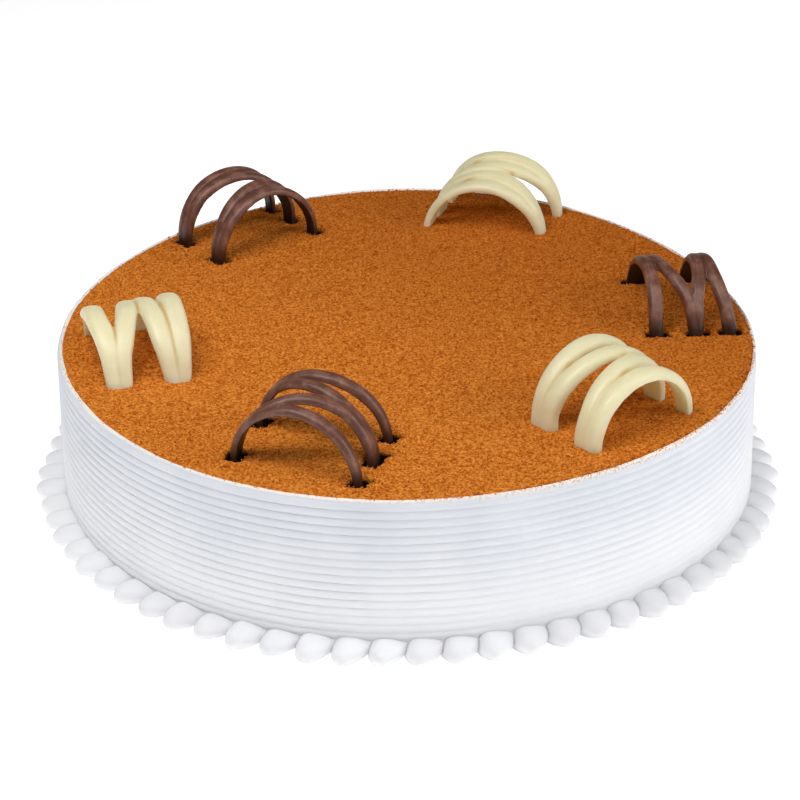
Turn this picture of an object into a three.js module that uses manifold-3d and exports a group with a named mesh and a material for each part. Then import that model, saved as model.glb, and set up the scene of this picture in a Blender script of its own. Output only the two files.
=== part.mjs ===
// A whole round cake: cream combed into fine ridges round the side, cocoa dusted over the top,
// a piped border of cream beads round the foot, and six chocolate arches pushed in near the rim.
// Millimetres, +Z up. The origin is on the floor, under the middle of the whole cake.

import * as THREE from "three";
import { mergeVertices } from "three/addons/utils/BufferGeometryUtils.js";
import Module from "manifold-3d";

const wasm = await Module();
wasm.setup();

// Cake
const CAKE_RADIUS = 132; // over the crests of the combed ridges
const CREAM_TOP = 62; // the cream that the cocoa lies on
const LIP_HEIGHT = 0.7; // the cream edge that stands up round the cocoa
const LIP_WIDTH = 0.9;
const FOOT_CHAMFER = 0.9;
const SIDE_SEGMENTS = 51;

// Combed ridges
const GROOVES = 18;
const GROOVE_PITCH = 3.27;
const GROOVE_DEPTH = 0.9;
const TOP_GROOVE = 61.7; // height of the topmost groove

// Cocoa
const COCOA_RADIUS = 130;
const COCOA_TOP = 63;
const GAP = 0.3; // between one piece and the next

// The outline isn't quite round: it swells in three broad lobes and four smaller ones.
const SWELLS = [
  { lobes: 3, height: 1.5, towards: -28.7 },
  { lobes: 4, height: 0.9, towards: -13.6 },
];

// Piped border
const BEADS = 68;
const BEAD_HEIGHT = 8.8;
const BORDER_INNER = CAKE_RADIUS + GAP + 0.05;
const BORDER_OUTER = 142.7;
const BEAD_UNEVEN = 0.05; // how much one bead's size strays from the next, as a share
const BEAD_START = 1.3; // the first bead's place, in degrees round from the front
const BEAD_DRIFT = 1.6; // how far the spacing drifts, in degrees

// Each bead has a blunt head that swells fast, and a tail that the next bead's head covers.
const BEAD_STATIONS = [
  { along: -0.4, size: 0.62 },
  { along: -0.25, size: 0.91 },
  { along: 0.02, size: 1 },
  { along: 0.34, size: 0.85 },
];

// Section of the border: out from the cake and up from the floor, as shares of its full size
const BORDER_SECTION = [
  [0, 0],
  [0.62, 0],
  [0.99, 0.34],
  [0.88, 0.8],
  [0.45, 1],
  [0, 0.72],
];

// Chocolate arches
const LEG_DEPTH = 8; // how deep the legs go under the top of the cocoa
const SOCKET_GAP = 1.5; // room round each leg in the cream and cocoa
const BEND_STEPS = 10;
const NARROW_SHARE = 0.3; // how much of the bend a strand narrows over, towards its feet
const STRAIGHT_SHARE = 0.1; // how much of the bend an outer strand runs straight over, above a single foot
const DARK = 0x5b392c;
const WHITE = 0xe8deb6;

// A strand's section, as shares of its width and thickness: flat inside, where the chocolate set on its
// mould, and rounded outside
const STRAND_SECTION = [
  [0.5, -0.5],
  [0.43, 0.15],
  [0.21, 0.46],
  [-0.21, 0.46],
  [-0.43, 0.15],
  [-0.5, -0.5],
];

// The four strands of an arch, from the innermost out. One row of feet has two vees, each with two legs;
// the other row has three ends, of which the middle one has two legs. A strand lies on one side of its
// vee and, if its end is shared, on one side of that too.
const STRANDS = [
  { vee: 0, veeSide: -1, end: 0, endSide: 0 },
  { vee: 0, veeSide: 1, end: 1, endSide: -1 },
  { vee: 1, veeSide: -1, end: 1, endSide: 1 },
  { vee: 1, veeSide: 1, end: 2, endSide: 0 },
];

// For each arch: where it stands, the direction across its strands and the one along them in degrees,
// and which row the vees are in; half its span and its height, how deep it is sunk, and how much higher
// the outermost strand stands than the innermost; where the vees and the ends lie across it; how far a
// strand lies from the middle of a shared foot, and a strand's width and thickness; over what share of
// the bend the strands of each vee and of the middle end run joined; how much a strand narrows at a vee,
// at a single end and at the middle end; and how far each strand bows out halfway.
const ARCHES = [
  {
    name: "arch_back_left", colour: DARK, place: [-63.5, 88.1], out: 129.5, along: 219.3, veeRow: 1,
    reach: 22.7, height: 22.9, sink: -1, rise: 0.8, vees: [-10.9, 11.1], ends: [-14.9, -0.1, 12.4],
    touch: 1.5, width: 6.2, thickness: 2.8,
    joined: [0.15, 0.27, 0.1], narrowed: [0.2, 0.22, 0.39], bows: [1.2, 0, -0.1, -1.4],
  },
  {
    name: "arch_back_right", colour: WHITE, place: [38.1, 103.3], out: 66, along: 162.9, veeRow: -1,
    reach: 23.4, height: 22.6, sink: 1.7, rise: 4.7, vees: [-9.8, 8.3], ends: [-13.4, -1.4, 12],
    touch: 0.8, width: 8.6, thickness: 3.1,
    joined: [0.14, 0.2, 0.26], narrowed: [0.58, 0.18, 0.05], bows: [0.9, 0.8, -1.5, -2.1],
  },
  {
    name: "arch_left", colour: WHITE, place: [-100.2, -17.9], out: 192.2, along: 283.5, veeRow: 1,
    reach: 23.7, height: 23.8, sink: 4.4, rise: -2, vees: [-10.8, 11.2], ends: [-13.4, -0.7, 13.9],
    touch: 1.9, width: 8.6, thickness: 3.2,
    joined: [0.03, 0.21, 0.28], narrowed: [0.27, 0.29, 0], bows: [0, 0, -0.7, 2.4],
  },
  {
    name: "arch_right", colour: DARK, place: [105.9, 17.9], out: 2.2, along: 100, veeRow: 1,
    reach: 23.7, height: 22.5, sink: 4.5, rise: 0.5, vees: [-11.1, 9.5], ends: [-14.5, 0.6, 13.2],
    touch: 1.2, width: 5.6, thickness: 3.2,
    joined: [0.21, 0.3, 0.22], narrowed: [0.05, 0.06, 0.4], bows: [0.7, -1.8, 1.1, -1.2],
  },
  {
    name: "arch_front_left", colour: DARK, place: [-34.8, -93.4], out: -108.7, along: -20.4, veeRow: -1,
    reach: 24.1, height: 24.4, sink: 1.5, rise: 0.9, vees: [-14.2, 12.1], ends: [-16.8, -0.4, 16.9],
    touch: 1.5, width: 6, thickness: 2.8,
    joined: [0.25, 0.23, 0.3], narrowed: [0.29, 0.28, 0.02], bows: [1.4, 0.6, -0.9, 0],
  },
  {
    name: "arch_front_right", colour: WHITE, place: [73.6, -71.1], out: -48.9, along: 42, veeRow: -1,
    reach: 23.1, height: 22.3, sink: -1, rise: -2.7, vees: [-12, 10.1], ends: [-13.1, 0.2, 15.4],
    touch: 2.3, width: 7.9, thickness: 3.8,
    joined: [0.07, 0.16, 0.25], narrowed: [0.04, 0.21, 0.3], bows: [0.1, 0.9, 0.4, -0.2],
  },
];

const radians = THREE.MathUtils.degToRad;

// How far the outline stands out at an angle
function swell(angle) {
  return SWELLS.reduce((sum, s) => sum + s.height * Math.cos(s.lobes * (angle - radians(s.towards))), 0);
}

// A fixed number between -1 and 1 for each whole number, for what strays from piece to piece
function stray(n) {
  const s = Math.sin(n * 12.9898 + 4.1) * 43758.5453;
  return 2 * (s - Math.floor(s)) - 1;
}

// Geometry with its shared vertices merged, so that each is moved or joined once
function welded(geometry) {
  geometry.deleteAttribute("normal");
  geometry.deleteAttribute("uv");
  return mergeVertices(geometry, 1e-4);
}

function toSolid(geometry) {
  const bare = welded(geometry);
  return new wasm.Manifold(
    new wasm.Mesh({
      numProp: 3,
      vertProperties: bare.attributes.position.array,
      triVerts: new Uint32Array(bare.index.array),
    }),
  );
}

function toGeometry(solid) {
  const mesh = solid.getMesh();
  const geometry = new THREE.BufferGeometry();
  geometry.setAttribute("position", new THREE.BufferAttribute(mesh.vertProperties, 3));
  geometry.setIndex(new THREE.BufferAttribute(mesh.triVerts, 1));
  geometry.computeVertexNormals();
  return geometry;
}

function pieceOf(name, geometry, colour, roughness) {
  const material = new THREE.MeshStandardMaterial({ color: colour, roughness, metalness: 0 });
  const piece = new THREE.Mesh(geometry, material);
  piece.name = name;
  return piece;
}

// A profile of [radius, height] pairs turned about +Z, its first segment edge at the front
function turned(profile, segments) {
  const points = profile.map(([radius, height]) => new THREE.Vector2(radius, height));
  return welded(new THREE.LatheGeometry(points, segments).rotateX(Math.PI / 2));
}

// Moves each vertex by its angle round the cake, its radius and its height
function reshape(geometry, rule) {
  const place = geometry.attributes.position;
  for (let i = 0; i < place.count; i++) {
    const x = place.getX(i);
    const y = place.getY(i);
    const [angle, radius, height] = rule(Math.atan2(y, x), Math.hypot(x, y), place.getZ(i));
    place.setXYZ(i, radius * Math.cos(angle), radius * Math.sin(angle), height);
  }
  geometry.computeVertexNormals();
  return geometry;
}

// Cream side: from the floor up through the ridges to the lip, then in under the cocoa
function cakeProfile() {
  const profile = [
    [0, 0],
    [CAKE_RADIUS - FOOT_CHAMFER, 0],
    [CAKE_RADIUS, FOOT_CHAMFER],
  ];
  for (let i = GROOVES - 1; i >= 0; i--) {
    const height = TOP_GROOVE - i * GROOVE_PITCH;
    profile.push([CAKE_RADIUS, height - GROOVE_PITCH / 2]);
    profile.push([CAKE_RADIUS - GROOVE_DEPTH, height]);
  }
  const lipInner = COCOA_RADIUS + GAP;
  profile.push([lipInner + LIP_WIDTH, CREAM_TOP + 0.8 * LIP_HEIGHT]);
  profile.push([lipInner + 0.2, CREAM_TOP + LIP_HEIGHT]);
  profile.push([lipInner, CREAM_TOP]);
  profile.push([0, CREAM_TOP]);
  return profile;
}

function cakeBody() {
  const body = turned(cakeProfile(), SIDE_SEGMENTS);
  return reshape(body, (angle, radius, height) => [
    angle,
    radius + (swell(angle) * radius) / CAKE_RADIUS,
    height,
  ]);
}

// Cocoa: a thin disc that follows the outline of the cake
function cocoaDisc() {
  const outline = [];
  for (let i = 0; i < SIDE_SEGMENTS; i++) {
    const angle = (i / SIDE_SEGMENTS) * 2 * Math.PI - Math.PI / 2;
    const radius = COCOA_RADIUS * (1 + swell(angle) / CAKE_RADIUS);
    outline.push(new THREE.Vector2(radius * Math.cos(angle), radius * Math.sin(angle)));
  }
  const depth = COCOA_TOP - CREAM_TOP - GAP;
  const disc = new THREE.ExtrudeGeometry(new THREE.Shape(outline), { depth, bevelEnabled: false });
  return disc.translate(0, 0, COCOA_TOP - depth);
}

// Where a bead's middle lies, as an angle from +X
function beadAngle(bead) {
  const round = ((bead * 360) / BEADS + BEAD_START) % 360;
  const drift = BEAD_DRIFT * Math.sin(radians(2 * round + 8));
  return radians(round + drift - 90);
}

// The border: a ring with one swell for each bead
function pipedBorder() {
  const width = BORDER_OUTER - BORDER_INNER;
  const stations = BEADS * BEAD_STATIONS.length;
  const section = [...BORDER_SECTION, BORDER_SECTION[0]];
  const profile = section.map(([out, up]) => [BORDER_INNER + out * width, up * BEAD_HEIGHT]);
  return reshape(turned(profile, stations), (angle, radius, height) => {
    const turn = angle / (2 * Math.PI) + 1.25;
    const index = Math.round(turn * stations) % stations;
    const bead = Math.floor(index / BEAD_STATIONS.length);
    const station = BEAD_STATIONS[index % BEAD_STATIONS.length];
    const step = (2 * Math.PI) / BEADS;
    const newAngle = beadAngle(bead) + station.along * step;
    const size = station.size * (1 + BEAD_UNEVEN * stray(bead));
    const out = (radius - BORDER_INNER) * size;
    return [newAngle, BORDER_INNER + swell(newAngle) + out, height * size];
  });
}

// How much of its narrowing a strand has at a share of the bend from its feet: all at 0, none further up
function nearness(share) {
  return Math.max(1 - share / NARROW_SHARE, 0) ** 1.3;
}

// How far across the arch a strand lies, and how wide it is, at a share of the bend from the vees
function strandCourse(arch, index, share) {
  const { vee, veeSide, end, endSide } = STRANDS[index];
  const [atVee, atSingle, atMiddle] = arch.narrowed;
  const shared = endSide !== 0;
  const veeSize = 1 - atVee * nearness(share);
  const endSize = 1 - (shared ? atMiddle : atSingle) * nearness(1 - share);
  const from = arch.vees[vee] + veeSide * arch.touch * veeSize;
  const to = arch.ends[end] + endSide * arch.touch * endSize;
  const joined = arch.joined[vee];
  const straight = shared ? arch.joined[2] : STRAIGHT_SHARE;
  const shifted = THREE.MathUtils.clamp((share - joined) / (1 - joined - straight), 0, 1);
  const bow = arch.bows[index] * Math.sin(Math.PI * shifted) ** 2;
  return { across: THREE.MathUtils.lerp(from, to, shifted) + bow, width: arch.width * veeSize * endSize };
}

// A closed tube with so many stations and corners; place(station, corner) gives each corner its spot,
// or the middle of the section where there is no corner
function skinned(stations, corners, place) {
  const tube = welded(new THREE.CylinderGeometry(1, 1, 1, corners, stations - 1));
  const spots = tube.attributes.position;
  for (let i = 0; i < spots.count; i++) {
    const [x, y, z] = [spots.getX(i), spots.getY(i), spots.getZ(i)];
    const station = Math.round((0.5 - y) * (stations - 1));
    const round = Math.atan2(x, z) / (2 * Math.PI) + 1;
    const corner = Math.hypot(x, z) < 0.5 ? null : Math.round(round * corners) % corners;
    spots.setXYZ(i, ...place(station, corner));
  }
  return tube;
}

// A strand: up one leg, half round the bend while it shifts across, and down the other leg
function strand(arch, index) {
  const spring = arch.rise * (index / 3 - 0.5) - arch.sink;
  return skinned(BEND_STEPS + 3, STRAND_SECTION.length, (station, corner) => {
    const bend = THREE.MathUtils.clamp((station - 1) / BEND_STEPS, 0, 1);
    const inLeg = station === 0 || station === BEND_STEPS + 2;
    const { across, width } = strandCourse(arch, index, arch.veeRow < 0 ? bend : 1 - bend);
    const [wide, thick] = corner === null ? [0, 0] : STRAND_SECTION[corner];
    const turn = bend * Math.PI;
    const out = thick * arch.thickness;
    return [
      across + wide * width,
      -Math.cos(turn) * (arch.reach + out),
      inLeg ? -LEG_DEPTH : spring + Math.sin(turn) * (arch.height + out),
    ];
  });
}

// An arch's own frame: X out across its strands, Y along them
function archFrame({ place, out, along }) {
  return new THREE.Matrix4()
    .makeBasis(
      new THREE.Vector3(Math.cos(radians(out)), Math.sin(radians(out)), 0),
      new THREE.Vector3(Math.cos(radians(along)), Math.sin(radians(along)), 0),
      new THREE.Vector3(0, 0, 1),
    )
    .setPosition(place[0], place[1], COCOA_TOP);
}

function archSolid(arch) {
  const strands = STRANDS.map((_, index) => toSolid(strand(arch, index).applyMatrix4(archFrame(arch))));
  return strands.reduce((joined, next) => joined.add(next));
}

// The holes that an arch's five feet stand in, through the cocoa and down into the cream
function archSockets(arch) {
  const [atVee, atSingle, atMiddle] = arch.narrowed;
  const single = arch.width;
  const double = arch.width + 2 * arch.touch;
  const feet = [
    { x: arch.vees[0], row: 1, wide: double * (1 - atVee) },
    { x: arch.vees[1], row: 1, wide: double * (1 - atVee) },
    { x: arch.ends[0], row: -1, wide: single * (1 - atSingle) },
    { x: arch.ends[1], row: -1, wide: double * (1 - atMiddle) },
    { x: arch.ends[2], row: -1, wide: single * (1 - atSingle) },
  ];
  const depth = LEG_DEPTH + GAP;
  const above = 2; // the cutter stands clear of the cocoa
  const thick = arch.thickness + 2 * SOCKET_GAP;
  return feet.map(({ x, row, wide }) => {
    const hole = new THREE.BoxGeometry(wide + 2 * SOCKET_GAP, thick, depth + above);
    hole.translate(x, row * arch.veeRow * arch.reach, (above - depth) / 2);
    return toSolid(hole.applyMatrix4(archFrame(arch)));
  });
}

const sockets = ARCHES.flatMap(archSockets).reduce((joined, socket) => joined.add(socket));

const cake = new THREE.Group();
cake.add(pieceOf("cake", toGeometry(toSolid(cakeBody()).subtract(sockets)), 0xf1f2f4, 0.5));
cake.add(pieceOf("cocoa_top", toGeometry(toSolid(cocoaDisc()).subtract(sockets)), 0xb4682c, 0.95));
cake.add(pieceOf("piped_border", pipedBorder(), 0xf4f5f6, 0.45));
for (const arch of ARCHES) {
  cake.add(pieceOf(arch.name, toGeometry(archSolid(arch)), arch.colour, 0.35));
}

// The middle of the whole cake stands over the origin
const middle = new THREE.Box3().setFromObject(cake).getCenter(new THREE.Vector3());
cake.position.set(-middle.x, -middle.y, 0);

const root = new THREE.Group();
root.add(cake);

export default root;
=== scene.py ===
# A whole tiramisu cake: a combed cream side, a cocoa top, piped beads round the foot and bent chocolate
# arches. Shapes are worked out in millimetres from the cake's own axis, then placed in metres.

import math

import bmesh
import bpy
import numpy as np
from mathutils import Matrix, Vector, noise


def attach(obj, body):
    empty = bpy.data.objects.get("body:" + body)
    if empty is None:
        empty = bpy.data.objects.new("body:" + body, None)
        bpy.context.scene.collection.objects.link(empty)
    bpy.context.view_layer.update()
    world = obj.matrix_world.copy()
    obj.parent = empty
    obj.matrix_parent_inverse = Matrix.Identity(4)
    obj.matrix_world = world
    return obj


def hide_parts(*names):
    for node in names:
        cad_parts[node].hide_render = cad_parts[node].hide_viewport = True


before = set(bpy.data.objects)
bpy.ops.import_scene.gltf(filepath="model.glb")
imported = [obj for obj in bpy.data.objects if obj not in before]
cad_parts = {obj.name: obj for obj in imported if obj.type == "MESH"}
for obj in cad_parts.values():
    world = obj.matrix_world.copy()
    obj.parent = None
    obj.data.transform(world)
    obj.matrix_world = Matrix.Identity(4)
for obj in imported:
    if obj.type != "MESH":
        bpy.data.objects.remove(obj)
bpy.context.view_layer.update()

MM = 0.001
AXIS = Vector((-0.16, -1.6, 0))  # the cake's axis: the uneven border sets it off the origin
FROM_AXIS = Matrix.Scale(MM, 4) @ Matrix.Translation(AXIS)

# Cake
CAKE_RADIUS = 132
CREAM_TOP = 58.6  # the cream under the cocoa
LIP_TOP = 62.75
LIP_INNER = 130.5
LIP_LEAN = 0.3  # how much further in the lip's inner side is below the cocoa
LIP_BACK = ((0.45, 0.25), (0.4, 0.55), (0.65, 0.85))  # how far in, and what share of the way up
FOOT_CHAMFER = 0.9
SIDE_STEPS = 400
SWELLS = ((3, 1.5, -28.7), (4, 0.9, -13.6))  # lobes, height and direction of each

# Combed ridges
GROOVES = 18
GROOVE_PITCH = 3.27
GROOVE_DEPTH = 0.43
TOP_GROOVE = 61.6
RIDGE_POINTS = 7
UNEVEN_DEPTH = 0.3  # how much the depth comes and goes, as a share of it, and over what length
UNEVEN_SIZE = 16
PRESSED_DEPTH = 0.6  # how much deeper the grooves are where the comb was pressed the most
PRESSED_TOWARDS = math.radians(-165)
WAVE = dict(size=34, out=0.22, up=0.28)  # how the side and its grooves wander
RIPPLE = dict(size=9, out=0.1, up=0.08)
SIDE_SETBACK = 0.15  # keeps the waves inside the cake's outline
STILL_FOOT = 6  # below this height the grooves wander less and less

# Cocoa
COCOA_RADIUS = 130.3
COCOA_TOP = 62.9
COCOA_BASE = 59
COCOA_SKIRT = 1.3  # how far the edge goes straight down
COCOA_CELLS = 304
GRAIN_SIZE = 1.6
GRAIN_HEIGHT = 0.3
LUMP_SIZE = 3.2
LUMP_HEIGHT = 0.1
ROLL_SIZE = 38
ROLL_HEIGHT = 0.3
ROUNDED_FROM = 0.985  # the share of the way out where the top starts to round down, and how far it does
ROUNDED_EDGE = 0.5
CREEP_FROM = 0.992  # the share of the way out where the edge starts to stray
EDGE_CREEP = dict(size=1.4, usual=0.35, ragged=1.4)  # how far it strays in small steps
EDGE_SWAY = dict(size=5, out=0.25)  # and in large ones
EDGE_SETBACK = 0.3
RAGGED_TOWARDS = math.radians(-48)  # where the cocoa's edge is the most ragged
CRUMBS = 24500
CRUMB_SIZES = (0.24, 0.5)
CRUMB_LIFT = 0.35  # how far a crumb's middle is above the cocoa, as a share of its size
CRUMB_CORNERS = (0.65, 1.35)  # how far its corners lie from its middle, as a share of its size
CRUMB_RANGE = 0.994  # how far out they lie, as a share of the cocoa

# Broken cocoa
PIT_DEPTH = 3
PIT_RIGHT, PIT_LEFT, PIT_BACK, PIT_FRONT = 4.4, 2.6, 3, 0.8  # how far a pit reaches from a leg
PIT_RAGGED = ((0.35, 2.2), (0.3, 5))  # how far its edge strays, as a share of that, and over what length
BROKEN_SPOTS = ((85, 11, 13), (-40, -71, 8), (-95.5, -29, 5))  # where the cocoa is cracked, and how far round
BROKEN_DEPTH = 0.3  # how deep it is cracked there, as a share of a pit
CRACK_SIZE = 2.3
IN_PIT = 0.1  # loose crumbs stay out of pits from this share of their depth

# Loose cocoa
# How far down from the lip's top the lip band reaches: a painted highlight warmed as by fine cocoa, with cocoa specks
# in it
LIP_BAND_REACH = dict(usual=0.5, ragged=2.2, uneven=0.6, size=2.5, least=0.2)  # down from the lip's top
LIP_GRAINS = 4000
LIP_GRAIN_SIZES = (0.12, 0.3)
LIP_SPREAD = 1.3  # how far out over the lip they lie at most
EVEN_SHARE = 0.05  # the share of them that is kept where the cocoa's edge is even
LEG_CRUMBS = 40  # round each leg of a dark arch
LEG_CRUMB_SIZES = (0.2, 0.45)
LEG_CRUMB_REACH = (1.2, 6)

# Piped border
BEADS = 68
BEAD_HEIGHT = 7.3
BORDER_INNER = 128.6
BORDER_OUTER = 142.6
BEAD_UNEVEN = 0.05  # how much their sizes vary
BEAD_LEAN = 0.3  # how much higher the outer side of a bead may be
BEAD_START = 1.3  # in degrees from the front, and how far the beads drift from even steps
BEAD_DRIFT = 1.6
BEAD_HEAD = -0.52  # where a bead starts and ends, in steps from its middle
BEAD_TAIL = 0.92
HEAD_POWER = 0.5  # the lower, the blunter the head
TAIL_POWER = 1.1
TAIL_LIFT = 3.6
TAIL_FROM = -0.3  # where along a bead, -1 to 1, its tail starts to rise
TAIL_CURVE = 1.5
FLOOR_GAP = 0.02  # keeps the beads off the floor
BEAD_STATIONS = 24
BEAD_SIDES = 22

# Chocolate arches
ARCH_STAND = 63  # the height that arches are measured from
LEG_DEPTH = 7.8
NARROW_SHARE = 0.3  # how much of the bend a strand narrows over, towards its feet
NARROW_POWER = 1.3
STRAIGHT_SHARE = 0.1  # how much of the bend an outer strand runs straight over, above a single foot
UNEVEN_WIDTH = 0.05
UNEVEN_THICKNESS = 0.1
SEAM_WIDTH = 0.6
SEAM_DEPTH = {"dark_chocolate": 0.15, "white_chocolate": 0.35}
STRAND_STATIONS = 80
STRAND_SIDES = 24
ARCH_VOXEL = 0.36
ARCH_SMOOTHINGS = 4

# The four strands of an arch, from the innermost out: its vee and its side of it, its end and its side of it
STRANDS = ((0, -1, 0, 0), (0, 1, 1, -1), (1, -1, 1, 1), (1, 1, 2, 0))

# What each arch says:
#   place, out, along    where it stands, and the directions across its strands and along them
#   vee_row              which row of feet the vees are in
#   reach, height        half its span, and how high it bends
#   sink, rise           how deep it is sunk, and how much higher the outermost strand stands
#   vees, ends           where the vees and the ends lie across it
#   touch                how far a strand lies from the middle of a shared foot
#   width, thickness     of a strand
#   joined               the share of the bend that the strands of each vee and the middle end run joined over
#   narrowed             how much a strand narrows at a vee, at a single end and at the middle end
#   bows                 how far each strand bows out halfway
#   seams                how clearly the seams show between strands that run side by side
#   pits                 how wide the cocoa is broken round its legs
ARCHES = {
    "arch_back_left": dict(
        slot="dark_chocolate", place=(-63.5, 88.1), out=129.5, along=219.3, vee_row=1,
        reach=22.7, height=22.9, sink=-1, rise=0.8, vees=(-10.9, 11.1), ends=(-14.9, -0.1, 12.4),
        touch=1.5, width=6.2, thickness=2.8, joined=(0.15, 0.27, 0.1), narrowed=(0.2, 0.22, 0.39),
        bows=(1.2, 0, -0.1, -1.4), seams=1, pits=0.72,
    ),
    "arch_back_right": dict(
        slot="white_chocolate", place=(38.1, 103.3), out=66, along=162.9, vee_row=-1,
        reach=23.4, height=22.6, sink=1.7, rise=4.7, vees=(-9.8, 8.3), ends=(-13.4, -1.4, 12),
        touch=0.8, width=8.6, thickness=3.1, joined=(0.14, 0.2, 0.26), narrowed=(0.58, 0.18, 0.05),
        bows=(0.9, 0.8, -1.5, -2.1), seams=0.45,
    ),
    "arch_left": dict(
        slot="white_chocolate", place=(-100.2, -17.9), out=192.2, along=283.5, vee_row=1,
        reach=23.7, height=23.8, sink=4.4, rise=-2, vees=(-10.8, 11.2), ends=(-13.4, -0.7, 13.9),
        touch=1.9, width=8.6, thickness=3.2, joined=(0.03, 0.21, 0.28), narrowed=(0.27, 0.29, 0),
        bows=(0, 0, -0.7, 2.4), seams=1,
    ),
    "arch_right": dict(
        slot="dark_chocolate", place=(105.9, 17.9), out=2.2, along=100, vee_row=1,
        reach=23.7, height=22.5, sink=4.5, rise=0.5, vees=(-11.1, 9.5), ends=(-14.5, 0.6, 13.2),
        touch=1.2, width=5.6, thickness=3.2, joined=(0.21, 0.3, 0.22), narrowed=(0.05, 0.06, 0.4),
        bows=(0.7, -1.8, 1.1, -1.2), seams=1, pits=0.75,
    ),
    "arch_front_left": dict(
        slot="dark_chocolate", place=(-34.8, -93.4), out=-108.7, along=-20.4, vee_row=-1,
        reach=24.1, height=24.4, sink=1.5, rise=0.9, vees=(-14.2, 12.1), ends=(-16.8, -0.4, 16.9),
        touch=1.5, width=6, thickness=2.8, joined=(0.25, 0.23, 0.3), narrowed=(0.29, 0.28, 0.02),
        bows=(1.4, 0.6, -0.9, 0), seams=1, pits=1,
    ),
    "arch_front_right": dict(
        slot="white_chocolate", place=(73.6, -71.1), out=-48.9, along=42, vee_row=-1,
        reach=23.1, height=22.3, sink=-1, rise=-2.7, vees=(-12, 10.1), ends=(-13.1, 0.2, 15.4),
        touch=2.3, width=7.9, thickness=3.8, joined=(0.07, 0.16, 0.25), narrowed=(0.04, 0.21, 0.3),
        bows=(0.1, 0.9, 0.4, -0.2), seams=0.35,
    ),
}

# Colours, as they look on a screen, 0 to 255
COMBED_CREAM = ((219, 223, 230), (226, 229, 235))
# Painted bounce light: the near-white the side pales to towards its foot
PAINTED_BOUNCE_CREAM = (253, 253, 254)
# A painted highlight on the lip, warmed as by fine cocoa
HIGHLIGHT_AND_DUST_CREAM = (255, 244, 234)
SPECKED_CREAM = (184, 132, 96)
PIPED_CREAM = ((224, 224, 227), (230, 230, 232))
# Painted light on the beads to the left and the right, and painted shade on them close to the floor
PAINTED_LIGHT_PIPED = (252, 252, 254)
SHADED_PIPED = (190, 191, 196)
COCOA_POWDER = ((172, 78, 0), (248, 160, 68))
# Painted shade: the cocoa deepens to this towards the back, where less light falls
PAINTED_FALLOFF_COCOA = (150, 62, 0)
# Painted shade in the pits and the cracked spots
PAINTED_PIT_SHADE = (22, 7, 3)
WHITE_PAPER = (246, 246, 246)

# Of each chocolate: its two tones; the colours of its seams, inner faces and feet, and how far it goes
# towards each (painted shade, but on white chocolate the inner faces and feet are painted paler, as painted
# light); how streaked and how rough it is, and how much light goes into it
CHOCOLATES = {
    "dark_chocolate": dict(
        tones=((98, 59, 44), (156, 110, 92)), seam=((44, 24, 17), 0.4), inner=((16, 6, 4), 0.97),
        foot=((26, 12, 9), 0.9), streaks=0.4, roughness=0.5, soft=0,
    ),
    "white_chocolate": dict(
        tones=((231, 222, 180), (238, 230, 192)), seam=((212, 182, 116), 0.9), inner=((250, 249, 194), 0.85),
        foot=((250, 250, 206), 0.85), streaks=0.3, roughness=0.44, soft=0.6,
    ),
}

# Floor and lights, in metres. Each light's direction from the cake and how high it is, how far off and how
# large it is, and how bright it makes a white card that faces it.
FLOOR_SIZE = 8
FLOOR_GLOW = 0.61
WORLD_COLOUR = (0.95, 0.97, 1, 1)
WORLD_STRENGTH = 0.05
LIT_POINT = Vector((0, 0, 0.06))
LIGHTS = {
    "left box": (-147, 61, 0.75, 0.4, 0.58),
    "front box": (-90, 65, 0.65, 0.4, 0.21),
    "right box": (-12, 27, 2, 0.9, 0.33),
    "low right box": (-50, 15, 2, 0.9, 0.06),
    "high right box": (-40, 60, 1, 0.5, 0.11),
}

# The camera stands where the photograph was taken from
CAMERA_PLACE = Vector((-7.98, -1083.06, 605.68))
CAMERA_YAW = -0.29
CAMERA_DOWN = 27.9
CAMERA_ROLL = -0.65
CAMERA_LENS = 142.9
CAMERA_SENSOR = 36
CAMERA_RANGE = (0.05, 20)


# Uneven outline and sizes

def smooth_step(low, high, value):
    """0 at low, 1 at high, and a smooth way between"""
    t = np.clip((value - low) / (high - low), 0, 1)
    return t * t * (3 - 2 * t)


def swell(angle):
    """How far the outline stands out at an angle"""
    return sum(height * np.cos(lobes * (angle - math.radians(towards))) for lobes, height, towards in SWELLS)


def raggedness(angle):
    """How ragged the cocoa's edge is at an angle, 0 to 1"""
    return np.maximum(np.cos(angle - RAGGED_TOWARDS), 0) ** 2


def stray(n):
    """A fixed number between -1 and 1 for each whole number"""
    s = math.sin(n * 12.9898 + 4.1) * 43758.5453
    return 2 * (s - math.floor(s)) - 1


def noise_at(points, size):
    """Smooth noise at each point, with bumps of about that size"""
    return np.array([noise.noise(Vector(p) / size) for p in points])


def grains_at(points, size):
    """Rounded grains packed side by side: 1 at the top of each, 0 between them"""
    heights = [1 - noise.voronoi(Vector(p) / size)[0][0] ** 2 * 1.8 for p in points]
    return np.clip(heights, 0, 1)


# Points

def polar(points):
    """The angle and radius of each point"""
    return np.arctan2(points[:, 1], points[:, 0]), np.hypot(points[:, 0], points[:, 1])


def from_polar(angle, radius, height=0):
    """The points at those angles, radii and heights"""
    return np.stack([radius * np.cos(angle), radius * np.sin(angle), height + 0 * radius], 1)


def squared(c, power):
    """A circle's coordinate, bulged towards a square's as the power falls below 1"""
    return math.copysign(abs(c) ** power, c)


def beyond(offset, half):
    """How far an offset from the middle is past an edge on either side of it"""
    return offset - np.clip(offset, -half, half)


# Meshes

def places(mesh):
    """The mesh's points"""
    points = np.empty(len(mesh.vertices) * 3)
    mesh.vertices.foreach_get("co", points)
    return points.reshape(-1, 3)


def move_to(mesh, points):
    mesh.vertices.foreach_set("co", points.astype(np.float32).ravel())
    mesh.update()


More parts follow.
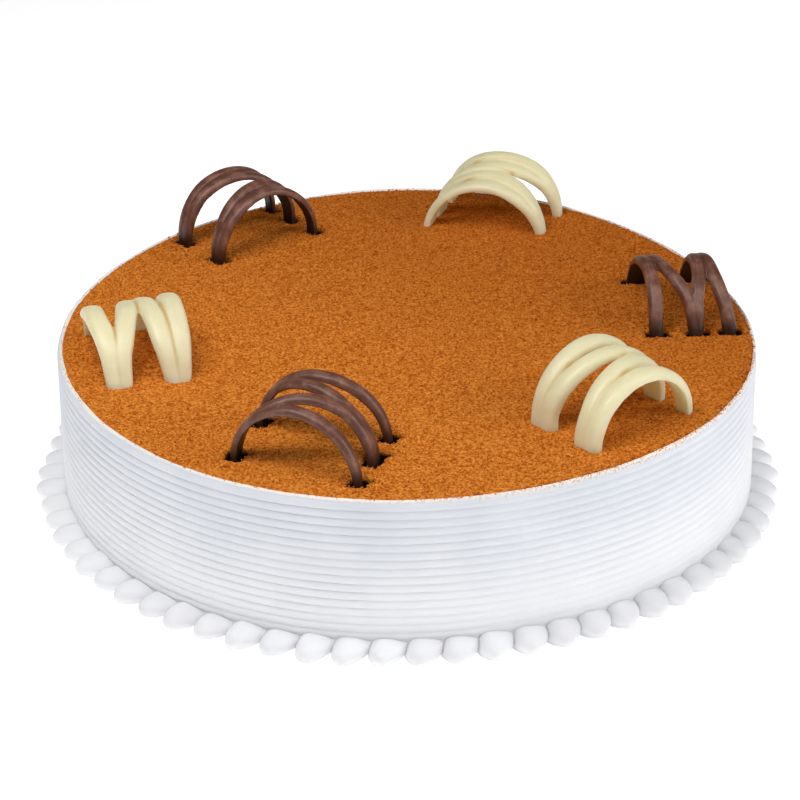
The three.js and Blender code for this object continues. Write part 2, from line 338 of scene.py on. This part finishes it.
def keep_values(mesh, **values):
    """Numbers kept on the mesh's points, for its material to read"""
    for name, numbers in values.items():
        attribute = mesh.attributes.new(name, "FLOAT", "POINT")
        attribute.data.foreach_set("value", np.asarray(numbers, np.float32))


def to_mesh(bm, name):
    """A mesh of the shape, its doubles merged and its faces pointing out"""
    bmesh.ops.remove_doubles(bm, verts=bm.verts, dist=0.001)
    bmesh.ops.recalc_face_normals(bm, faces=bm.faces)
    mesh = bpy.data.meshes.new(name)
    bm.to_mesh(mesh)
    bm.free()
    return mesh


def tube(bm, rule, stations, around):
    """A closed tube whose skin is rule(share of its length, share of the way round)"""
    made = bmesh.ops.create_grid(bm, x_segments=stations, y_segments=around, size=0.5)["verts"]
    for vert in made:
        vert.co = rule(vert.co.x + 0.5, vert.co.y + 0.5)
    bmesh.ops.remove_doubles(bm, verts=made, dist=0.001)
    rims = [edge for edge in bm.edges if edge.is_boundary]
    bmesh.ops.holes_fill(bm, edges=rims)


def add_object(name, data):
    made = bpy.data.objects.new(name, data)
    bpy.context.scene.collection.objects.link(made)
    return made


def add_piece(name, mesh, finish, slot, *nodes, sharp=60):
    """Places a shape made in millimetres, with its finish, and hides the parts it stands for"""
    mesh.transform(FROM_AXIS)
    mesh.shade_smooth()
    mesh.set_sharp_from_angle(angle=math.radians(sharp))
    mesh.materials.append(finish)
    piece = add_object(name, mesh)
    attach(piece, "root")
    if nodes:
        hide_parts(*nodes)


# Materials

def srgb(levels):
    """A colour given as it looks on a screen, 0 to 255"""
    return [c / 12.92 if c <= 0.04045 else ((c + 0.055) / 1.055) ** 2.4 for c in (v / 255 for v in levels)] + [1]


class Value:
    """A socket of a material, with arithmetic"""

    def __init__(self, finish, socket):
        self.finish = finish
        self.socket = socket

    def maths(self, operation, other):
        return self.finish.node("ShaderNodeMath", {"operation": operation}, {0: self, 1: other})

    def __add__(self, other):
        return self.maths("ADD", other)

    __radd__ = __add__

    def __mul__(self, other):
        return self.maths("MULTIPLY", other)

    __rmul__ = __mul__

    def between(self, low, high):
        """0 below low, 1 above high, and a smooth way between"""
        settings = {"interpolation_type": "SMOOTHSTEP"}
        return self.finish.node("ShaderNodeMapRange", settings, {"Value": self, 1: low, 2: high})


class Finish:
    """A material of one Principled shader, and the nodes that feed it"""

    def __init__(self, name, **constants):
        self.material = bpy.data.materials.new(name)
        self.material.use_nodes = True
        self.tree = self.material.node_tree
        self.shader = self.tree.nodes["Principled BSDF"]
        for key, value in constants.items():
            self.shader.inputs[key.replace("_", " ").title().replace("Ior", "IOR")].default_value = value

    def node(self, kind, settings=None, inputs=None, output=0):
        """Adds a node with its settings and the values or links of its sockets, and gives one of its outputs"""
        made = self.tree.nodes.new(kind)
        for key, value in (settings or {}).items():
            setattr(made, key, value)
        for key, value in (inputs or {}).items():
            if isinstance(value, Value):
                self.tree.links.new(value.socket, made.inputs[key])
            else:
                made.inputs[key].default_value = value
        return Value(self, made.outputs[output])

    def feed(self, **values):
        """Links values to the shader's own sockets"""
        for key, value in values.items():
            self.tree.links.new(value.socket, self.shader.inputs[key.replace("_", " ").title()])

    def millimetres(self):
        """The piece's own coordinates, in millimetres"""
        own = self.node("ShaderNodeTexCoord", output="Object")
        return self.node("ShaderNodeVectorMath", {"operation": "SCALE"}, {0: own, "Scale": 1 / MM})

    def along(self, place, direction):
        """How far a place lies in a direction"""
        return self.node("ShaderNodeVectorMath", {"operation": "DOT_PRODUCT"}, {0: place, 1: direction}, "Value")

    def noise(self, place, size, detail=3, roughness=0.5):
        inputs = {"Vector": place, "Scale": 1 / size, "Detail": detail, "Roughness": roughness}
        return self.node("ShaderNodeTexNoise", None, inputs)

    def attribute(self, name):
        return self.node("ShaderNodeAttribute", {"attribute_name": name}, output="Fac")

    def mix(self, share, low, high):
        """Low where the share is 0 and high where it is 1; each is a value, or a colour as srgb takes it"""
        low, high = (tone if isinstance(tone, Value) else srgb(tone) for tone in (low, high))
        return self.node("ShaderNodeMix", {"data_type": "RGBA"}, {0: share, 6: low, 7: high}, output=2)

    def bump(self, height, distance):
        """distance is how high the relief is, in millimetres"""
        return self.node("ShaderNodeBump", None, {"Height": height, "Distance": distance * MM, "Strength": 1})


def cream_finish(name, tones, soft, reach, tinted):
    """Cream between two tones; light goes in by the share soft, as far as reach, and tinted adds to the tone, painted
    light and shade among it
    """
    finish = Finish(
        name, roughness=0.5, specular_ior_level=0.35, subsurface_weight=soft, subsurface_scale=reach,
        subsurface_radius=(1, 0.95, 0.9)
    )
    place = finish.millimetres()
    cloud = finish.noise(place, size=28).between(0.35, 0.65)
    fine = finish.noise(place, size=0.9, detail=4)
    lumps = finish.noise(place, size=4, detail=2)
    finish.feed(base_color=tinted(finish, place, finish.mix(cloud, *tones)))
    finish.feed(normal=finish.bump(fine * 0.35 + lumps, 0.12))
    return finish.material


def dusted(finish, place, tone):
    """Painted bounce light towards the foot, a painted highlight on the lip warmed as by fine cocoa powder, and cocoa
    specks where the edge is ragged
    """
    specks = finish.attribute("specks") * finish.noise(place, size=0.9, detail=2).between(0.5, 0.6)
    # painted bounce light: paler towards the foot
    tone = finish.mix(finish.attribute("depth"), tone, PAINTED_BOUNCE_CREAM)
    # painted highlight on the lip, warmed as by fine cocoa
    tone = finish.mix(finish.attribute("dust") * 0.9, tone, HIGHLIGHT_AND_DUST_CREAM)
    return finish.mix(specks * 0.75, tone, SPECKED_CREAM)


def painted_light_and_shade(finish, place, tone):
    """Painted light that pales the beads to the left and the right, and painted shade that darkens them close to the
    floor
    """
    # painted light on the beads to the left and the right
    for side in (-0.9, 0.9):
        beside = finish.along(place, (side, 0.4, 0)).between(0, 125)
        tone = finish.mix(beside * 0.7, tone, PAINTED_LIGHT_PIPED)
    # painted shade on the beads close to the floor
    return finish.mix(finish.along(place, (0, 0, 1)).between(0, 3.4), SHADED_PIPED, tone)


def cocoa_finish():
    """Specked powder, with painted shade that deepens it towards the back and makes it nearly black in the pits"""
    finish = Finish("cocoa", roughness=1, specular_ior_level=0.05)
    place = finish.millimetres()
    speck = finish.noise(place, size=1, detail=2, roughness=0.65)
    # on the sheet grain is the relief's height, so the hollows between grains get painted shade; on crumbs it is a
    # random tone
    tone = (finish.attribute("grain") * 0.16 + speck).between(0.3, 0.88)
    powder = finish.mix(tone, *COCOA_POWDER)
    # painted shade towards the back, where less light falls
    painted_falloff = finish.along(place, (0.6, 0.8, 0))
    powder = finish.mix(painted_falloff.between(-70, 130) * 0.4, powder, PAINTED_FALLOFF_COCOA)
    # painted shade: nearly black in the pits, and darker where the cocoa is cracked
    finish.feed(base_color=finish.mix(finish.attribute("pit").between(0.05, 0.65), powder, PAINTED_PIT_SHADE))
    finish.feed(normal=finish.bump(speck, 1))
    return finish.material


def chocolate_finish(name, tones, seam, inner, foot, streaks, roughness, soft):
    """Streaked chocolate, as its row in CHOCOLATES says, with painted seam shade, and painted shade on the inner
    faces and feet of dark chocolate and painted light on those of white
    """
    finish = Finish(
        name, subsurface_weight=soft, subsurface_scale=0.009, subsurface_radius=(1, 0.9, 0.7), specular_ior_level=0.5
    )
    place = finish.millimetres()
    cloud = finish.noise(place, size=5, detail=4, roughness=0.6)
    fine = finish.noise(place, size=0.7)
    streak = finish.attribute("streak") * streaks
    tone = finish.mix((cloud * 0.7 + streak * 0.3).between(0.3, 0.7), *tones)
    # painted shade in seams, on inner faces and at feet; on white chocolate, paler painted light on inner faces and
    # feet
    for part, (colour, share) in (("foot", foot), ("inner", inner), ("seam", seam)):
        tone = finish.mix(finish.attribute(part) * share, tone, colour)
    finish.feed(base_color=tone)
    finish.feed(roughness=cloud * 0.2 + streak * 0.16 + (roughness - 0.18))
    finish.feed(normal=finish.bump(fine * 0.4 + cloud + streak * 0.5, 0.2))
    return finish.material


CREAM = cream_finish("combed cream", COMBED_CREAM, soft=0.15, reach=0.003, tinted=dusted)
PIPED = cream_finish("piped cream", PIPED_CREAM, soft=0.5, reach=0.008, tinted=painted_light_and_shade)
COCOA = cocoa_finish()
CHOCOLATE = {slot: chocolate_finish(slot.replace("_", " "), **look) for slot, look in CHOCOLATES.items()}


# Combed cream

def cream_profile():
    """The radius and height of each point from the middle of the foot, up the side, to the middle of the top"""
    points = [(0, 0), (CAKE_RADIUS - FOOT_CHAMFER, 0), (CAKE_RADIUS - 0.2, FOOT_CHAMFER)]
    foot = TOP_GROOVE - GROOVES * GROOVE_PITCH
    for ridge in range(GROOVES):
        for k in range(RIDGE_POINTS):
            across = 2 * (k + 1) / RIDGE_POINTS - 1
            height = foot + (ridge + (k + 1) / RIDGE_POINTS) * GROOVE_PITCH
            points.append((CAKE_RADIUS - GROOVE_DEPTH * across**2, height))
    points += [(CAKE_RADIUS - inwards, TOP_GROOVE + share * (LIP_TOP - TOP_GROOVE)) for inwards, share in LIP_BACK]
    points += [(CAKE_RADIUS - 1, LIP_TOP), (LIP_INNER, LIP_TOP - 0.25), (LIP_INNER - LIP_LEAN, CREAM_TOP)]
    return points + [(0, CREAM_TOP)]


def combed_cream():
    """The profile spun round, then made as uneven as a comb leaves it"""
    bm = bmesh.new()
    verts = [bm.verts.new((radius, 0, height)) for radius, height in cream_profile()]
    edges = [bm.edges.new(pair) for pair in zip(verts, verts[1:])]
    bmesh.ops.spin(
        bm, geom=verts + edges, cent=(0, 0, 0), axis=(0, 0, 1), angle=2 * math.pi, steps=SIDE_STEPS, use_merge=True
    )
    mesh = to_mesh(bm, "combed_cream")
    points = places(mesh)
    angle, radius = polar(points)
    height = points[:, 2]
    on_side = smooth_step(CAKE_RADIUS - 2, CAKE_RADIUS - 1.4, radius)
    wave = noise_at(points, WAVE["size"])
    ripple = noise_at(points, RIPPLE["size"])

    pressed = np.maximum(np.cos(angle - PRESSED_TOWARDS), 0)
    depth = (CAKE_RADIUS - radius) * (1 + UNEVEN_DEPTH * noise_at(points, UNEVEN_SIZE) + PRESSED_DEPTH * pressed)
    radius = np.where(on_side > 0, CAKE_RADIUS - depth, radius)
    wander = WAVE["out"] * wave + RIPPLE["out"] * ripple - SIDE_SETBACK
    radius = radius + swell(angle) * radius / CAKE_RADIUS + on_side * wander
    free = on_side * smooth_step(0, STILL_FOOT, height)
    shifted = np.roll(wave, RIDGE_POINTS)  # out of step with how the side wanders
    height = height + free * (WAVE["up"] * shifted + RIPPLE["up"] * ripple)
    move_to(mesh, from_polar(angle, radius, height))

    ragged = raggedness(angle)
    uneven = LIP_BAND_REACH["uneven"] * noise_at(points, LIP_BAND_REACH["size"])
    reach = np.maximum(LIP_BAND_REACH["usual"] + LIP_BAND_REACH["ragged"] * ragged + uneven, LIP_BAND_REACH["least"])
    # the lip band: a painted highlight warmed as by fine cocoa, reaching further down where the cocoa's edge is
    # ragged
    dust = smooth_step(LIP_TOP - reach, LIP_TOP - 0.1, height)
    specks = dust * ragged * smooth_step(LIP_TOP + 0.3, LIP_TOP - 1, height)
    # depth, how far down the side a point lies, paints bounce light onto the lower side
    keep_values(mesh, dust=dust, specks=specks, depth=np.clip(1 - height / LIP_TOP, 0, 1) ** 1.6)
    add_piece("combed_cream", mesh, CREAM, "cream", "cake")


# Arches

def arch_frame(arch):
    """X out across the strands, Y along them, from the top of the cocoa"""
    matrix = Matrix.Translation((*arch["place"], ARCH_STAND))
    for column, direction in enumerate(("out", "along")):
        angle = math.radians(arch[direction])
        matrix.col[column] = (math.cos(angle), math.sin(angle), 0, 0)
    return matrix


def arch_feet(arch):
    """The middle, half width and half thickness of each foot, in the arch's own frame"""
    single, double = arch["width"] / 2, arch["width"] / 2 + arch["touch"]
    at_vee, at_single, at_middle = (1 - share for share in arch["narrowed"])
    row = arch["vee_row"] * arch["reach"]
    ends = (single * at_single, double * at_middle, single * at_single)
    feet = [(x, row, double * at_vee) for x in arch["vees"]]
    feet += [(x, -row, half) for x, half in zip(arch["ends"], ends)]
    return [(*foot, arch["thickness"] / 2) for foot in feet]


def dark_feet():
    """Each foot of each dark arch, with the arch and its frame"""
    for arch in ARCHES.values():
        if arch["slot"] == "dark_chocolate":
            matrix = arch_frame(arch)
            for foot in arch_feet(arch):
                yield arch, matrix, foot


def strand_course(arch, index, share):
    """How far across a strand lies, and how wide it is, at a share of the bend from the vees"""
    vee, vee_side, end, end_side = STRANDS[index]
    at_vee, at_single, at_middle = arch["narrowed"]
    near_vee = np.maximum(1 - share / NARROW_SHARE, 0) ** NARROW_POWER
    near_end = np.maximum(1 - (1 - share) / NARROW_SHARE, 0) ** NARROW_POWER
    vee_size = 1 - at_vee * near_vee
    end_size = 1 - (at_middle if end_side else at_single) * near_end
    start = arch["vees"][vee] + vee_side * arch["touch"] * vee_size
    finish = arch["ends"][end] + end_side * arch["touch"] * end_size
    joined, straight = arch["joined"][vee], arch["joined"][2] if end_side else STRAIGHT_SHARE
    shifted = np.clip((share - joined) / (1 - joined - straight), 0, 1)
    bow = arch["bows"][index] * np.sin(math.pi * shifted) ** 2
    return start + (finish - start) * shifted + bow, arch["width"] * vee_size * end_size


def strand_section(turn):
    """Across, in half widths, and out, in thicknesses: a rounded back over a nearly flat inner face"""
    c, s = math.cos(turn), math.sin(turn)
    if s > 0:
        return squared(c, 0.75), s**0.8 - 0.5
    return squared(c, 0.35), -0.5 - 0.06 * squared(-s, 0.5)


def strand_rule(arch, index):
    """A strand's skin: up out of the cream, over the bend, and down into the cream again"""
    spring = arch["rise"] * (index / 3 - 0.5) - arch["sink"]
    leg = spring + LEG_DEPTH
    bend_length = math.pi * arch["reach"]
    seed = arch["out"] * 3 + index * 17

    def rule(share, round_share):
        walked = share * (2 * leg + bend_length) - leg
        bend = min(max(walked / bend_length, 0), 1)
        down = max(-walked, walked - bend_length, 0)
        across, width = strand_course(arch, index, bend if arch["vee_row"] < 0 else 1 - bend)
        width *= 1 + UNEVEN_WIDTH * noise.noise(Vector((seed, share * 9, 0)))
        thickness = arch["thickness"] * (1 + UNEVEN_THICKNESS * noise.noise(Vector((seed, 5, share * 11))))
        sideways, out = strand_section(2 * math.pi * round_share)
        out *= thickness
        turn = bend * math.pi
        along = -math.cos(turn) * (arch["reach"] + out)
        up = spring + math.sin(turn) * (arch["height"] + out) - down
        return Vector((across + sideways * width / 2, along, up))

    return rule


def strand_values(arch, points, outward):
    """What the material reads at each point: how much it is a seam, an inner face and a foot, which place its painted
    shade and light, and its streak
    """
    x, y, z = points.T
    turn = np.arctan2(np.maximum(z + arch["sink"], 0) / arch["height"], -y / arch["reach"])
    share = turn / math.pi if arch["vee_row"] < 0 else 1 - turn / math.pi
    courses = [strand_course(arch, index, share) for index in range(len(STRANDS))]
    seam = np.zeros(len(points))
    for (near, near_width), (far, far_width) in zip(courses, courses[1:]):
        gap = far - near - (near_width + far_width) / 2
        middle = (near + far) / 2 + (near_width - far_width) / 4
        side_by_side = smooth_step(-0.7 * arch["width"], -0.1 * arch["width"], gap) * smooth_step(0, 12, z)
        parting = smooth_step(-0.16 * arch["width"], 0, gap)
        shown = np.maximum(side_by_side * arch["seams"], parting) * (1 - smooth_step(0, 1, gap))
        seam = np.maximum(seam, np.exp(-(((x - middle) / SEAM_WIDTH) ** 2)) * shown)

    off = np.array([x - course for course, _ in courses])
    nearest = np.take_along_axis(off, np.abs(off).argmin(0)[None], 0)[0]
    streak = 0.5 + 0.9 * noise_at(np.stack([nearest * 1.1, share * 8, 0 * share + arch["out"]], 1), 1)
    inward = outward[:, 1] * np.cos(turn) - outward[:, 2] * np.sin(turn)
    return {
        "seam": seam, "streak": streak, "inner": smooth_step(0.1, 0.7, inward), "foot": smooth_step(8, 0.5, z)
    }


def fused(mesh, voxel, rounds):
    """The overlapping shells of a mesh melted into one skin, and smoothed"""
    lump = add_object("lump", mesh)
    remesh = lump.modifiers.new("remesh", "REMESH")
    remesh.mode = "VOXEL"
    remesh.voxel_size = voxel
    smooth = lump.modifiers.new("smooth", "SMOOTH")
    smooth.factor = 0.5
    smooth.iterations = rounds
    made = bpy.data.meshes.new_from_object(lump.evaluated_get(bpy.context.evaluated_depsgraph_get()))
    bpy.data.objects.remove(lump)
    return made


def chocolate_arch(name, arch):
    """The four strands fused, with their seams pressed in"""
    bm = bmesh.new()
    for index in range(len(STRANDS)):
        tube(bm, strand_rule(arch, index), STRAND_STATIONS, STRAND_SIDES)
    mesh = fused(to_mesh(bm, name), ARCH_VOXEL, ARCH_SMOOTHINGS)
    mesh.name = name
    points = places(mesh)
    outward = np.empty(points.size)
    mesh.vertex_normals.foreach_get("vector", outward)
    outward = outward.reshape(-1, 3)
    values = strand_values(arch, points, outward)
    keep_values(mesh, **values)
    slot = arch["slot"]
    move_to(mesh, points - SEAM_DEPTH[slot] * values["seam"][:, None] * outward)
    mesh.transform(arch_frame(arch))
    add_piece(name.replace("arch", "chocolate"), mesh, CHOCOLATE[slot], slot, name)


# Cocoa

def pit_at(points):
    """1 inside a pit beside a dark leg, less where the cocoa is cracked, 0 elsewhere"""
    ragged = sum(share * noise_at(points, size) for share, size in PIT_RAGGED)
    broken = smooth_step(-0.1, 0.35, noise_at(points, CRACK_SIZE))
    pit = np.zeros(len(points))
    for x, y, radius in BROKEN_SPOTS:
        near = smooth_step(1.2, 0.6, np.hypot(points[:, 0] - x, points[:, 1] - y) / radius)
        pit = np.maximum(pit, BROKEN_DEPTH * broken * near)
    for arch, matrix, (x, y, half_width, half_thickness) in dark_feet():
        stand = np.array(matrix)
        local = (points - stand[:3, 3]) @ np.linalg.inv(stand[:3, :3]).T
        over_x = beyond(local[:, 0] - x, half_width)
        over_y = beyond(local[:, 1] - y, half_thickness)
        to_x = over_x * stand[0, 0] + over_y * stand[0, 1]
        to_y = over_x * stand[1, 0] + over_y * stand[1, 1]
        across = to_x / np.where(to_x > 0, PIT_RIGHT, PIT_LEFT)
        back = to_y / np.where(to_y > 0, PIT_BACK, PIT_FRONT)
        pit = np.maximum(pit, smooth_step(1, 0.65, np.hypot(across, back) / arch["pits"] + ragged))
    return pit


def cocoa_relief(flat, share):
    """The height of the cocoa's top, its grain height, which paints shade into the hollows between grains, and its
    pits
    """
    edge = smooth_step(ROUNDED_FROM, 1, share)
    grain = grains_at(flat, GRAIN_SIZE)
    lumps = noise_at(flat, LUMP_SIZE)
    pit = pit_at(flat)
    relief = GRAIN_HEIGHT * grain + LUMP_HEIGHT * lumps + ROLL_HEIGHT * noise_at(flat, ROLL_SIZE)
    height = COCOA_TOP - GRAIN_HEIGHT + relief * (1 - 0.5 * pit) - PIT_DEPTH * pit - ROUNDED_EDGE * edge**2
    return height, np.clip(0.75 * grain + 0.25 * (lumps + 0.5), 0, 1), pit


def cocoa_radius(share, angle):
    """The radius at a share of the way out"""
    return share * COCOA_RADIUS * (1 + swell(angle) / CAKE_RADIUS)


def edge_creep(flat, angle):
    """How far the cocoa's edge creeps out over the lip"""
    far = EDGE_CREEP["usual"] + EDGE_CREEP["ragged"] * raggedness(angle)
    creep = noise_at(flat, EDGE_CREEP["size"]) * far
    return creep + noise_at(flat, EDGE_SWAY["size"]) * EDGE_SWAY["out"] - EDGE_SETBACK


def cocoa_sheet():
    """A closed sheet with a granular top, broken into pits round the dark legs"""
    bm = bmesh.new()
    bmesh.ops.create_grid(bm, x_segments=COCOA_CELLS, y_segments=COCOA_CELLS, size=1)
    for vert in bm.verts:  # from a square grid to a round one
        x, y, _ = vert.co
        vert.co.x = x * math.sqrt(1 - y * y / 2)
        vert.co.y = y * math.sqrt(1 - x * x / 2)
    rim = [edge for edge in bm.edges if edge.is_boundary]
    for drop in (1, 2):  # two levels for now, at depths that tell them apart
        made = bmesh.ops.extrude_edge_only(bm, edges=rim)["geom"]
        rim = [part for part in made if isinstance(part, bmesh.types.BMEdge)]
        for part in made:
            if isinstance(part, bmesh.types.BMVert):
                part.co.z = -drop
    bmesh.ops.holes_fill(bm, edges=rim)
    mesh = to_mesh(bm, "cocoa_dust")
    points = places(mesh)
    level = np.round(points[:, 2])
    angle, share = polar(points)
    radius = cocoa_radius(share, angle)
    creep = edge_creep(from_polar(angle, radius), angle)
    flat = from_polar(angle, radius + smooth_step(CREEP_FROM, 1, share) * creep)
    top, grain, pit = cocoa_relief(flat, share)
    flat[:, 2] = np.where(level < -1.5, COCOA_BASE, np.where(level < -0.5, COCOA_TOP - COCOA_SKIRT, top))
    move_to(mesh, flat)
    keep_values(mesh, grain=grain, pit=pit)
    add_piece("cocoa_dust", mesh, COCOA, "cocoa", "cocoa_top", sharp=89)


def scattered(name, spots, sizes, pit, random):
    """Eight-sided crumbs of uneven shape, joined in one mesh: one at each spot, with painted pit shade where it lies
    in a pit
    """
    bm = bmesh.new()
    bmesh.ops.create_uvsphere(bm, u_segments=4, v_segments=2, radius=1)
    bmesh.ops.triangulate(bm, faces=bm.faces)
    one = to_mesh(bm, name)
    corners = places(one)
    faces = np.array([face.vertices[:] for face in one.polygons])
    count = len(spots)
    shape = corners[None] * random.uniform(*CRUMB_CORNERS, (count, len(corners), 1)) * sizes[:, None, None]
    turn = random.uniform(0, 2 * math.pi, (2, count, 1))
    x, y, z = shape[..., 0], shape[..., 1], shape[..., 2]
    x, z = x * np.cos(turn[0]) - z * np.sin(turn[0]), x * np.sin(turn[0]) + z * np.cos(turn[0])
    x, y = x * np.cos(turn[1]) - y * np.sin(turn[1]), x * np.sin(turn[1]) + y * np.cos(turn[1])
    corners = (np.stack([x, y, z], 2) + spots[:, None]).reshape(-1, 3)
    first = np.arange(count)[:, None, None] * len(one.vertices)
    mesh = bpy.data.meshes.new(name)
    mesh.from_pydata(corners.tolist(), [], (faces[None] + first).reshape(-1, 3).tolist())
    # dark carries the painted pit shade to each crumb
    shade, dark = np.repeat([random.random(count), pit], len(one.vertices), 1)
    keep_values(mesh, grain=shade, pit=dark)
    return mesh


def cocoa_crumbs():
    """Crumbs lying all over the cocoa"""
    random = np.random.default_rng(11)
    share = np.sqrt(random.random(CRUMBS)) * CRUMB_RANGE
    angle = random.uniform(-math.pi, math.pi, CRUMBS)
    spots = from_polar(angle, cocoa_radius(share, angle))
    height, _, pit = cocoa_relief(spots, share)
    sizes = CRUMB_SIZES[0] + (CRUMB_SIZES[1] - CRUMB_SIZES[0]) * random.random(CRUMBS) ** 2
    spots[:, 2] = height + CRUMB_LIFT * sizes
    mesh = scattered("cocoa_crumbs", spots, sizes, pit, random)
    add_piece("cocoa_crumbs", mesh, COCOA, "cocoa", sharp=20)


def loose_cocoa():
    """Fine grains caught on the cream's lip, and crumbs thrown up round the dark legs, outside their pits"""
    random = np.random.default_rng(7)
    spots, sizes = [], []
    for _ in range(LIP_GRAINS):
        angle = math.radians(random.uniform(-180, 180))
        ragged = raggedness(angle)
        keep, spread, size, lift = random.random(), random.random(), random.uniform(*LIP_GRAIN_SIZES), random.random()
        if keep > EVEN_SHARE + (1 - EVEN_SHARE) * ragged:
            continue
        out = LIP_SPREAD * spread**2 * (0.5 + ragged / 2)
        radius = (LIP_INNER - LIP_LEAN + out) * (1 + swell(angle) / CAKE_RADIUS)
        spots.append((radius * math.cos(angle), radius * math.sin(angle), LIP_TOP - 0.05 + 0.2 * size * lift))
        sizes.append(size)
    for _, matrix, (x, y, half_width, half_thickness) in dark_feet():
        for _ in range(LEG_CRUMBS):
            turn = random.uniform(0, 2 * math.pi)
            far, size = random.uniform(*LEG_CRUMB_REACH), random.uniform(*LEG_CRUMB_SIZES)
            across, along = (half_width + far) * math.cos(turn), (half_thickness + far) * math.sin(turn)
            place = matrix @ Vector((x + across, y + along, 0))
            in_pit = pit_at(np.array([[place.x, place.y, 0]]))[0] > IN_PIT
            if in_pit or math.hypot(place.x, place.y) > COCOA_RADIUS - 1:
                continue
            spots.append((place.x, place.y, COCOA_TOP + 0.2))
            sizes.append(size)
    mesh = scattered("loose_cocoa", np.array(spots), np.array(sizes), np.zeros(len(spots)), random)
    add_piece("loose_cocoa", mesh, COCOA, "cocoa", sharp=20)


# Piped border: one drop-shaped bead after another, each tail running up into the next head

def bead_angle(bead):
    """The direction of a bead, or of a place between two"""
    round_share = (bead * 360 / BEADS + BEAD_START) % 360
    drift = BEAD_DRIFT * math.sin(math.radians(2 * round_share + 8))
    return math.radians(round_share + drift - 90)


def fullness(t):
    """A bead's size from its head, -1, to its tail, 1: blunt, widest before the middle, then drawn out"""
    widest = (HEAD_POWER - TAIL_POWER) / (HEAD_POWER + TAIL_POWER)
    full = (1 + widest) ** HEAD_POWER * (1 - widest) ** TAIL_POWER
    return (1 + t) ** HEAD_POWER * (1 - t) ** TAIL_POWER / full


def bead_section(turn):
    """Out and up, -1 to 1: squarer than a circle, most of all on the side that is in the cream and below"""
    c, s = math.cos(turn), math.sin(turn)
    return squared(c, 0.95 if c > 0 else 0.5), squared(s, 0.75 if s < 0 else 0.95)


def bead_rule(bead):
    """A bead's skin, from its head to its raised tail"""
    size = 1 + BEAD_UNEVEN * stray(bead)
    step = 2 * math.pi / BEADS
    half_width = (BORDER_OUTER - BORDER_INNER) / 2 * size
    half_height = BEAD_HEIGHT / 2 * size
    lean = BEAD_LEAN * stray(bead + 100)

    def rule(share, round_share):
        t = -math.cos(math.pi * share)
        full = fullness(min(max(t, -1), 1))
        along = BEAD_HEAD + (BEAD_TAIL - BEAD_HEAD) * (t + 1) / 2
        wide, high = bead_section(2 * math.pi * round_share)
        lift = TAIL_LIFT * (max(t - TAIL_FROM, 0) / (1 - TAIL_FROM)) ** TAIL_CURVE
        up = half_height * full * (1 + high) + lift + lean * full * wide
        angle = bead_angle(bead) + along * step
        radius = BORDER_INNER + swell(angle) + half_width * full * (1 + wide)
        return Vector((radius * math.cos(angle), radius * math.sin(angle), max(up, FLOOR_GAP)))

    return rule


def piped_beads():
    """The ring of beads, its inner side in the cream"""
    bm = bmesh.new()
    for bead in range(BEADS):
        tube(bm, bead_rule(bead), BEAD_STATIONS, BEAD_SIDES)
    add_piece("piped_beads", to_mesh(bm, "piped_beads"), PIPED, "piped_cream", "piped_border")


# Floor, light and camera

def plain_floor():
    bm = bmesh.new()
    bmesh.ops.create_grid(bm, x_segments=1, y_segments=1, size=FLOOR_SIZE / 2)
    mesh = bpy.data.meshes.new("floor")
    bm.to_mesh(mesh)
    bm.free()
    paper = Finish(
        "floor", roughness=0.9, base_color=srgb(WHITE_PAPER), emission_color=(1, 1, 1, 1),
        emission_strength=FLOOR_GLOW
    )
    mesh.materials.append(paper.material)
    floor = add_object("floor", mesh)


def soft_box(name, azimuth, elevation, distance, size, brightness):
    """A square light aimed at the cake"""
    around, up = math.radians(azimuth), math.radians(elevation)
    towards = Vector((math.cos(around) * math.cos(up), math.sin(around) * math.cos(up), math.sin(up)))
    light = bpy.data.lights.new(name, "AREA")
    light.size = size
    light.energy = brightness * (math.pi * distance) ** 2
    lamp = add_object(name, light)
    lamp.location = towards * distance + LIT_POINT
    lamp.rotation_euler = towards.to_track_quat("Z", "Y").to_euler()


def studio():
    world = bpy.data.worlds.new("studio")
    world.use_nodes = True
    background = world.node_tree.nodes["Background"]
    background.inputs["Color"].default_value = WORLD_COLOUR
    background.inputs["Strength"].default_value = WORLD_STRENGTH
    bpy.context.scene.world = world
    for name, light in LIGHTS.items():
        soft_box(name, *light)


def photograph_camera():
    data = bpy.data.cameras.new("camera")
    data.lens = CAMERA_LENS
    data.sensor_width = CAMERA_SENSOR
    data.clip_start, data.clip_end = CAMERA_RANGE
    camera = add_object("camera", data)
    turn = Matrix.Rotation(math.radians(CAMERA_YAW), 4, "Z")
    tilt = Matrix.Rotation(math.radians(90 - CAMERA_DOWN), 4, "X")
    roll = Matrix.Rotation(math.radians(CAMERA_ROLL), 4, "Z")
    camera.matrix_world = Matrix.Translation(CAMERA_PLACE * MM) @ turn @ tilt @ roll
    bpy.context.scene.camera = camera


combed_cream()
cocoa_sheet()
cocoa_crumbs()
piped_beads()
loose_cocoa()
for arch_name, arch in ARCHES.items():
    chocolate_arch(arch_name, arch)
plain_floor()
studio()
photograph_camera()
bpy.context.scene.view_settings.view_transform = "Standard"
